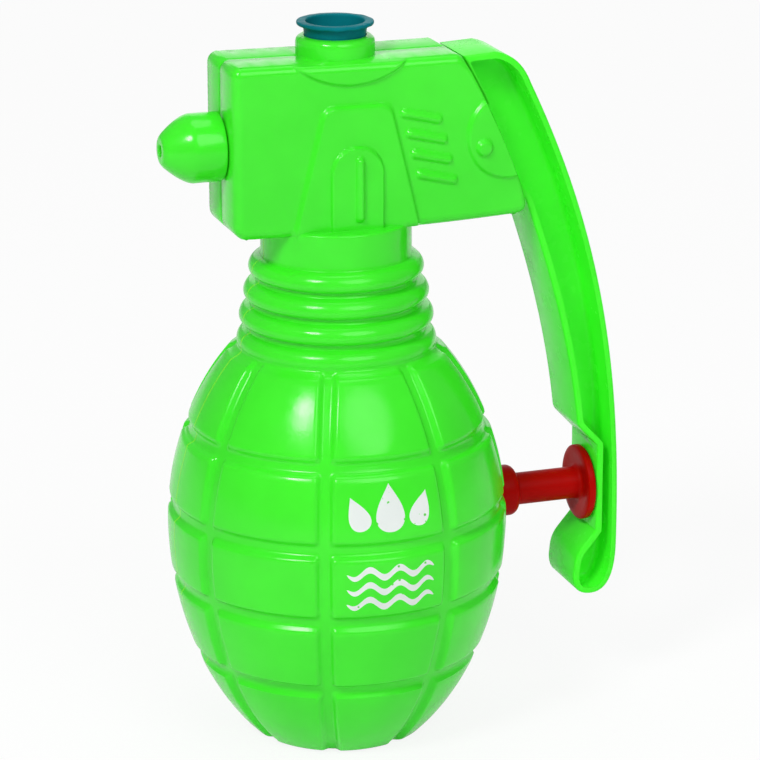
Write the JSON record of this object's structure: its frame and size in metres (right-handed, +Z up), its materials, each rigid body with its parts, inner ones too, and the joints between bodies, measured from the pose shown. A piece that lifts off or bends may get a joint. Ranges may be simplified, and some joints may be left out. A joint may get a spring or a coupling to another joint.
{
  "type": "water squirter",
  "caption": "Hand-held water squirter: panelled egg-shaped bottle with ringed neck and flat-sided head, front nozzle, filler stopper and a squeeze lever that drives a plunger pump.",
  "frame": {"origin": "middle of the flat base, on the axis of the egg", "axes": "+Z up along the egg's axis, -X forwards along the nozzle, +X to the lever, Y across the seam"},
  "size_m": [0.1095, 0.0798, 0.17],
  "materials": {
    "green_plastic": "glossy injection-moulded plastic, bright green",
    "red_plastic": "satin moulded plastic, red",
    "teal_plastic": "soft moulded plastic, teal",
    "natural_plastic": "unpigmented moulded plastic",
    "black_rubber": "soft rubber",
    "clear_hose": "cloudy flexible hose",
    "steel": "drawn steel",
    "white_print": "thin white print"
  },
  "bodies": {
    "body": {"shell_left": "green_plastic", "shell_right": "green_plastic", "nozzle": "green_plastic", "nozzle_seal": "black_rubber", "lever_pivot_pin": "steel", "pump_cylinder": "natural_plastic", "gland_cap": "red_plastic", "gland_seal": "black_rubber", "valve_chest": "natural_plastic", "inlet_fitting": "natural_plastic", "outlet_fitting": "natural_plastic", "suction_tube": "clear_hose", "suction_strainer": "natural_plastic", "delivery_tube": "clear_hose", "return_spring": "steel"},
    "squeeze_lever": {"lever": "green_plastic"},
    "plunger_rod": {"plunger": "red_plastic", "piston_ring": "black_rubber"},
    "stopper": {"filler_plug": "teal_plastic"},
    "lower_check_ball": {"inlet_ball": "steel"},
    "upper_check_ball": {"outlet_ball": "steel"}
  },
  "joints": [
    {"name": "lever_squeeze", "type": "hinge", "parent": "body", "child": "squeeze_lever", "pos_m": [0.0317, 0, 0.1407], "axis": [0, 1, 0], "range_deg": [0, 7], "stiffness_Nm_per_rad": 0.2, "springref_deg": -3.44},
    {"name": "plunger_stroke", "type": "slide", "parent": "body", "child": "plunger_rod", "axis": [-1, 0, 0], "range_m": [0, 0.012], "deforming": ["return_spring"]},
    {"name": "stopper_pull", "type": "slide", "parent": "body", "child": "stopper", "axis": [0, 0, 1], "range_m": [0, 0.02]},
    {"name": "inlet_ball_lift", "type": "slide", "parent": "body", "child": "lower_check_ball", "axis": [0, 0, 1], "range_m": [0, 0.0013]},
    {"name": "outlet_ball_lift", "type": "slide", "parent": "body", "child": "upper_check_ball", "axis": [0, 0, 1], "range_m": [0, 0.0013]}
  ],
  "couplings": [
    {"joint": "plunger_stroke", "follows": "lever_squeeze", "m_per_rad": 0.096}
  ]
}
